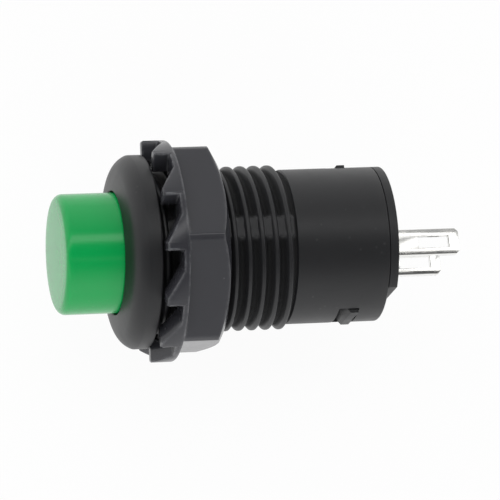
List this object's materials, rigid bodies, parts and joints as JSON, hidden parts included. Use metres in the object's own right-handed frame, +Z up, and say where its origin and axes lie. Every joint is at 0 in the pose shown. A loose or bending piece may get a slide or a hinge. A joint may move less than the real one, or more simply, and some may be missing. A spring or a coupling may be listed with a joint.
{
  "type": "pushbutton switch",
  "caption": "Round panel push button: coloured cap in a domed bezel, threaded plastic barrel with a spring-fingered hexagon nut, and slotted solder blades.",
  "frame": {"origin": "on the barrel's axis, in the plane where the back of the bezel seats on a panel", "axes": "+Y along the barrel from the bezel to the terminals, the cap faces -Y; +Z up, through one of the two strips where the thread is shallow; the barrel is level, as in an upright panel"},
  "size_m": [0.016, 0.0292, 0.016],
  "materials": {
    "black_plastic": "moulded, semi-gloss",
    "base_plastic": "moulded, semi-gloss",
    "nut_plastic": "moulded, glossy",
    "cap_plastic": "moulded, glossy green",
    "plunger_plastic": "natural white nylon",
    "spring_wire": "bright drawn wire",
    "contact_brass": "stamped strip",
    "tinned_blade": "bright tin plate over brass",
    "silver_contact": "satin silver"
  },
  "bodies": {
    "switch_body": {"housing": "black_plastic", "base": "base_plastic", "terminal_upper": "tinned_blade", "terminal_lower": "tinned_blade", "fixed_contact_upper": "silver_contact", "fixed_contact_lower": "silver_contact", "return_spring": "spring_wire"},
    "button": {"cap": "cap_plastic", "plunger": "plunger_plastic", "contact_spring": "spring_wire", "contact_ring": "contact_brass"},
    "nut": {"nut": "nut_plastic"}
  },
  "joints": [
    {"name": "button_press", "type": "slide", "parent": "switch_body", "child": "button", "axis": [0, 1, 0], "range_m": [0, 0.0025], "stiffness_N_per_m": 300, "springref_m": -0.002, "deforming": ["return_spring"]},
    {"name": "nut_travel", "type": "slide", "parent": "switch_body", "child": "nut", "axis": [0, 1, 0], "range_m": [0, 0.0231]}
  ]
}
